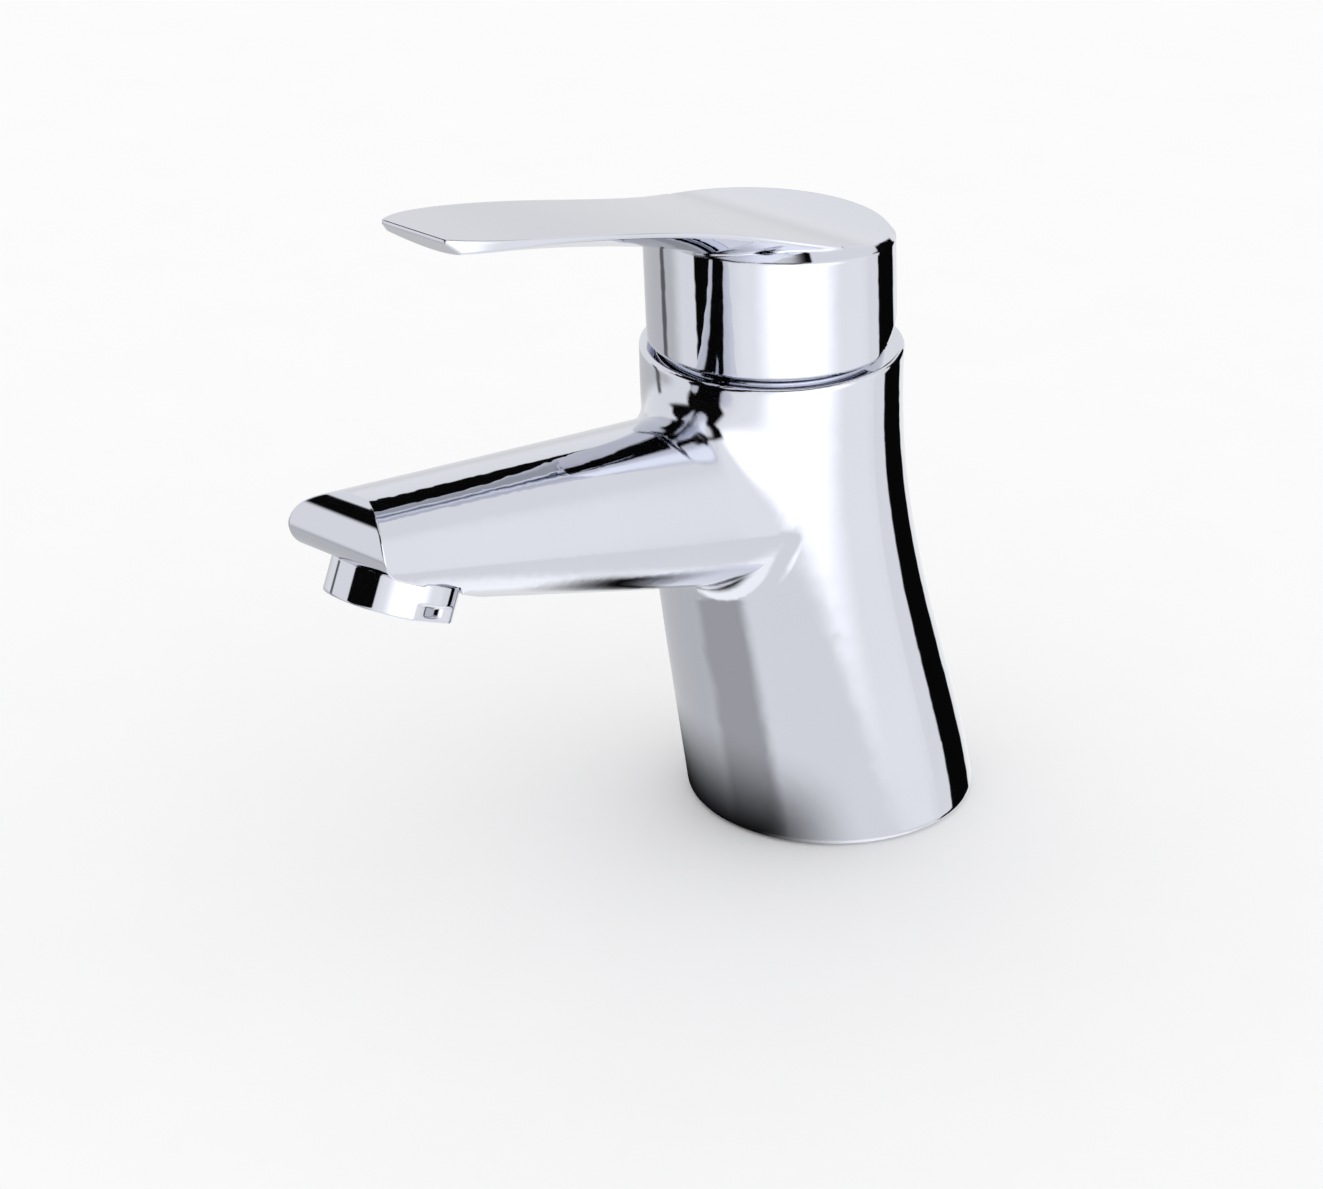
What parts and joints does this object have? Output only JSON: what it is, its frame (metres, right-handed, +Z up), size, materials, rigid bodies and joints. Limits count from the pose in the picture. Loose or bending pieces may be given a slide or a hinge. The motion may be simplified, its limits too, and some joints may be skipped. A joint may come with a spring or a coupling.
{
  "type": "single-lever basin mixer",
  "caption": "Deck-mounted single-lever basin mixer with a leaning round body, oval spout, ceramic-disc cartridge, lift-and-swivel lever and screw-on aerator",
  "frame": {"origin": "Centre of the round foot, on the deck surface.", "axes": "+Z up from the deck, -Y along the spout towards the user, +X to the right of a user who faces the mixer."},
  "size_m": [0.06, 0.1691, 0.1551],
  "materials": {
    "chrome": "polished",
    "brass": "machined",
    "steel": "machined",
    "ceramic": "lapped",
    "white_plastic": "moulded",
    "grey_plastic": "moulded",
    "index_plastic": "gloss",
    "rubber": "moulded"
  },
  "bodies": {
    "fixed": {"body_casting": "chrome", "foot_gasket": "rubber", "cover_cap": "chrome", "cartridge_nut": "brass", "cartridge_housing": "white_plastic", "cartridge_base": "white_plastic", "port_seals": "rubber", "disc_seals": "rubber", "fixed_disc": "ceramic", "aerator_collar": "chrome", "aerator_washer": "rubber", "aerator_insert": "white_plastic", "aerator_strainer": "steel"},
    "swivel": {"stem_carrier": "grey_plastic", "carrier_seal": "rubber", "pivot_pin": "steel"},
    "lever": {"lever_handle": "chrome", "stem": "brass", "grub_screw": "steel", "index_plug": "index_plastic"},
    "disc": {"moving_disc": "ceramic", "disc_carrier": "grey_plastic"}
  },
  "joints": [
    {"name": "lever_swivel", "type": "hinge", "parent": "fixed", "child": "swivel", "pos_m": [0, -0.02105, 0.1056], "axis": [0, 0, 1], "range_deg": [-45, 45]},
    {"name": "lever_lift", "type": "hinge", "parent": "swivel", "child": "lever", "pos_m": [0, -0.02105, 0.1056], "axis": [-1, 0, 0], "range_deg": [0, 24]},
    {"name": "disc_slide", "type": "slide", "parent": "swivel", "child": "disc", "axis": [0, 1, 0], "range_m": [-0.0051, 0.0001]}
  ],
  "couplings": [
    {"joint": "disc_slide", "follows": "lever_lift", "m_per_rad": -0.011912}
  ]
}
